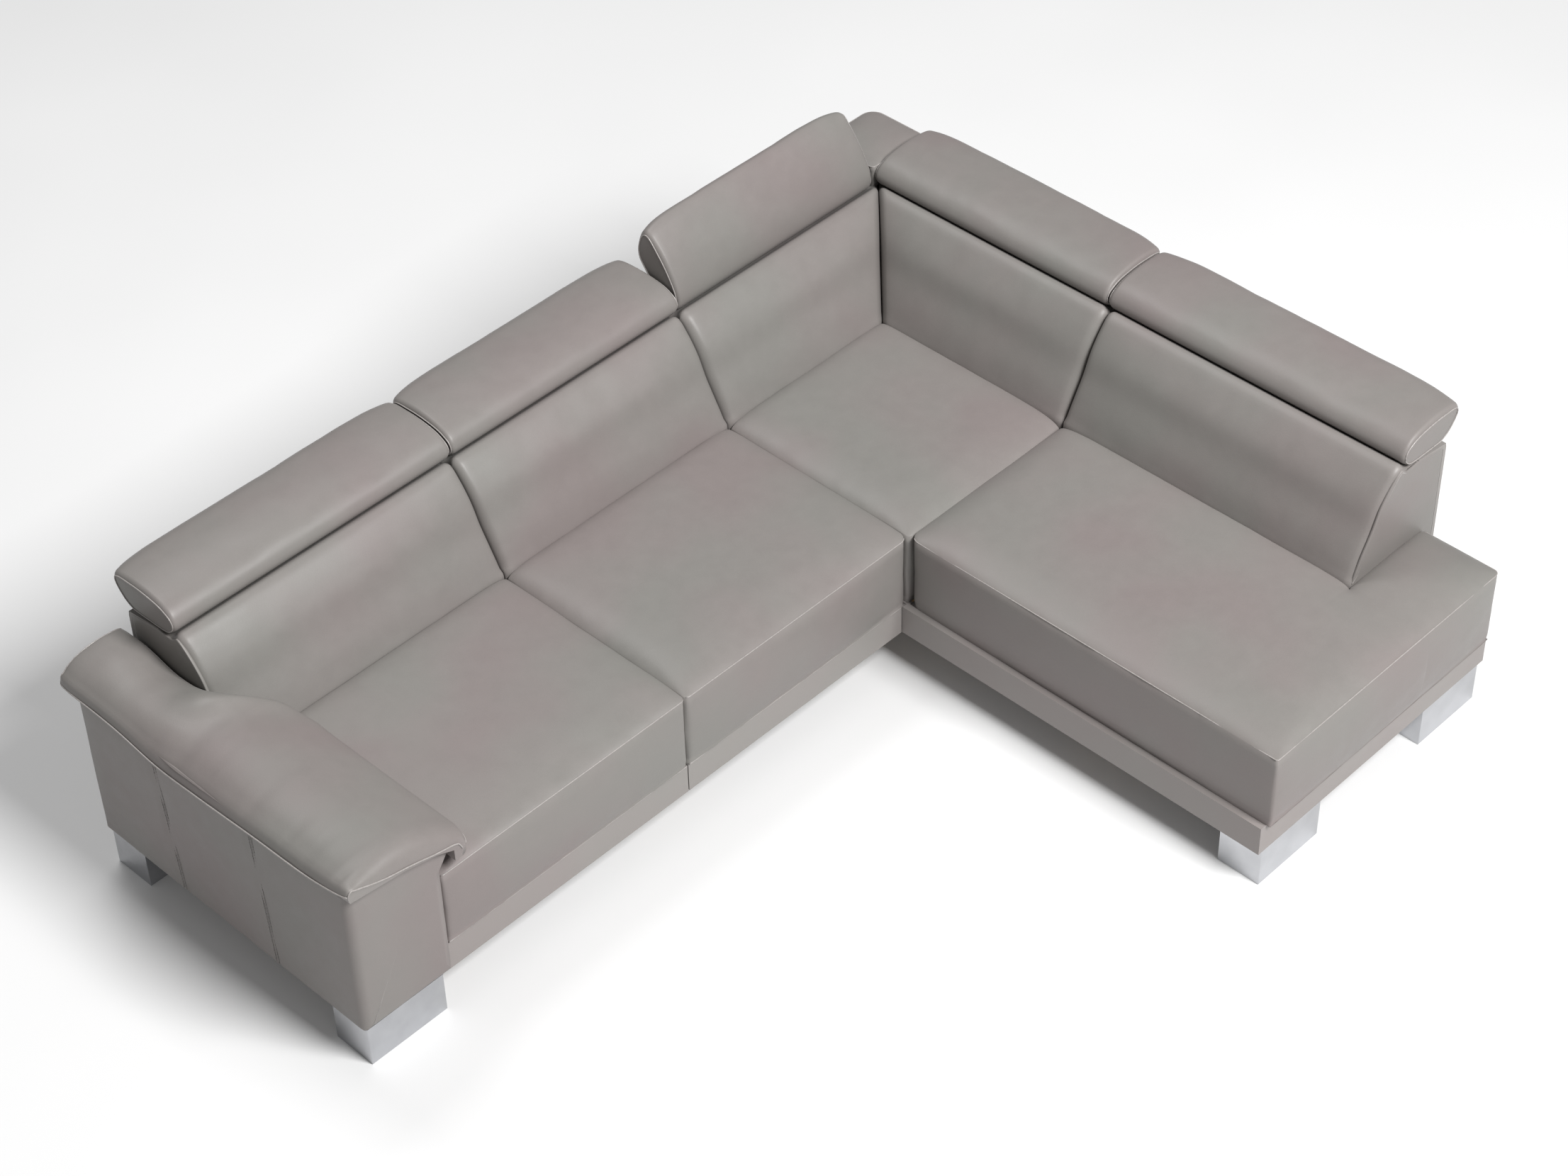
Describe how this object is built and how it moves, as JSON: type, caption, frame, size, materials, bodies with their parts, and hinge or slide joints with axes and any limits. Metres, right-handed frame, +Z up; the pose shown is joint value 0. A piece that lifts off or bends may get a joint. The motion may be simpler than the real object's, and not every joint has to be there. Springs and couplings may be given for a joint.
{
  "type": "corner sofa",
  "caption": "Leather corner sofa with a pillow-topped arm at one end and an open chaise at the other, sloping back cushions mitred at the corner, tilting headrests and metal block feet.",
  "frame": {"origin": "on the floor, under the middle of the bounding box of the whole sofa, with its headrests as stored", "axes": "+X along the long wing, from the arm towards the corner; +Y from the open front towards the back of the long wing; +Z up"},
  "size_m": [2.717, 2.112, 0.8798],
  "materials": {
    "leather": "smooth taupe grey leather with a soft sheen and a fine grain",
    "foam": "pale yellow upholstery foam",
    "timber": "planed pine and plywood, unfinished",
    "steel": "zinc plated steel",
    "chrome": "bright satin chrome",
    "plastic": "black moulded plastic"
  },
  "bodies": {
    "sofa": {"foot_arm_front": "chrome", "foot_arm_back": "chrome", "foot_chaise_inner": "chrome", "foot_chaise_outer": "chrome", "foot_corner_back": "chrome", "foot_glides": "plastic", "foot_studs": "steel", "support_legs": "plastic", "plinth_front_a": "leather", "plinth_front_b": "leather", "plinth_back": "leather", "plinth_chaise_left": "leather", "plinth_chaise_front": "leather", "plinth_chaise_right": "leather", "cross_rails": "timber", "seat_springs": "steel", "module_hooks": "steel", "seat_cushion_a": "leather", "seat_cushion_b": "leather", "seat_cushion_corner": "leather", "seat_cushion_chaise": "leather", "seat_foam_a": "foam", "seat_foam_b": "foam", "seat_foam_corner": "foam", "seat_foam_chaise": "foam", "back_cushion_a": "leather", "back_cushion_b": "leather", "back_cushion_c": "leather", "back_cushion_d": "leather", "back_cushion_e": "leather", "back_foams": "foam", "back_posts": "timber", "back_rail_long": "timber", "back_rail_chaise": "timber", "rear_cover_long": "leather", "rear_cover_chaise": "leather", "back_end_panels": "leather", "corner_cap": "leather", "arm_cover": "leather", "arm_frame": "timber", "arm_pillow": "leather", "arm_bolts": "steel", "hinge_brackets": "steel", "bracket_screws": "steel"},
    "headrest_a": {"headrest_cover_a": "leather", "headrest_board_a": "timber", "hinge_arms_a": "steel"},
    "headrest_b": {"headrest_cover_b": "leather", "headrest_board_b": "timber", "hinge_arms_b": "steel"},
    "headrest_c": {"headrest_cover_c": "leather", "headrest_board_c": "timber", "hinge_arms_c": "steel"},
    "headrest_d": {"headrest_cover_d": "leather", "headrest_board_d": "timber", "hinge_arms_d": "steel"},
    "headrest_e": {"headrest_cover_e": "leather", "headrest_board_e": "timber", "hinge_arms_e": "steel"}
  },
  "joints": [
    {"name": "headrest_a_tilt", "type": "hinge", "parent": "sofa", "child": "headrest_a", "pos_m": [-0.75025, 0.866, 0.7115], "axis": [1, 0, 0], "range_deg": [0, 60]},
    {"name": "headrest_b_tilt", "type": "hinge", "parent": "sofa", "child": "headrest_b", "pos_m": [0.0365, 0.866, 0.7115], "axis": [1, 0, 0], "range_deg": [0, 60]},
    {"name": "headrest_c_tilt", "type": "hinge", "parent": "sofa", "child": "headrest_c", "pos_m": [0.76425, 0.866, 0.7115], "axis": [1, 0, 0], "range_deg": [-55, 5]},
    {"name": "headrest_d_tilt", "type": "hinge", "parent": "sofa", "child": "headrest_d", "pos_m": [1.1685, 0.45575, 0.7115], "axis": [0, -1, 0], "range_deg": [0, 60]},
    {"name": "headrest_e_tilt", "type": "hinge", "parent": "sofa", "child": "headrest_e", "pos_m": [1.1685, -0.37725, 0.7115], "axis": [0, -1, 0], "range_deg": [0, 60]}
  ]
}
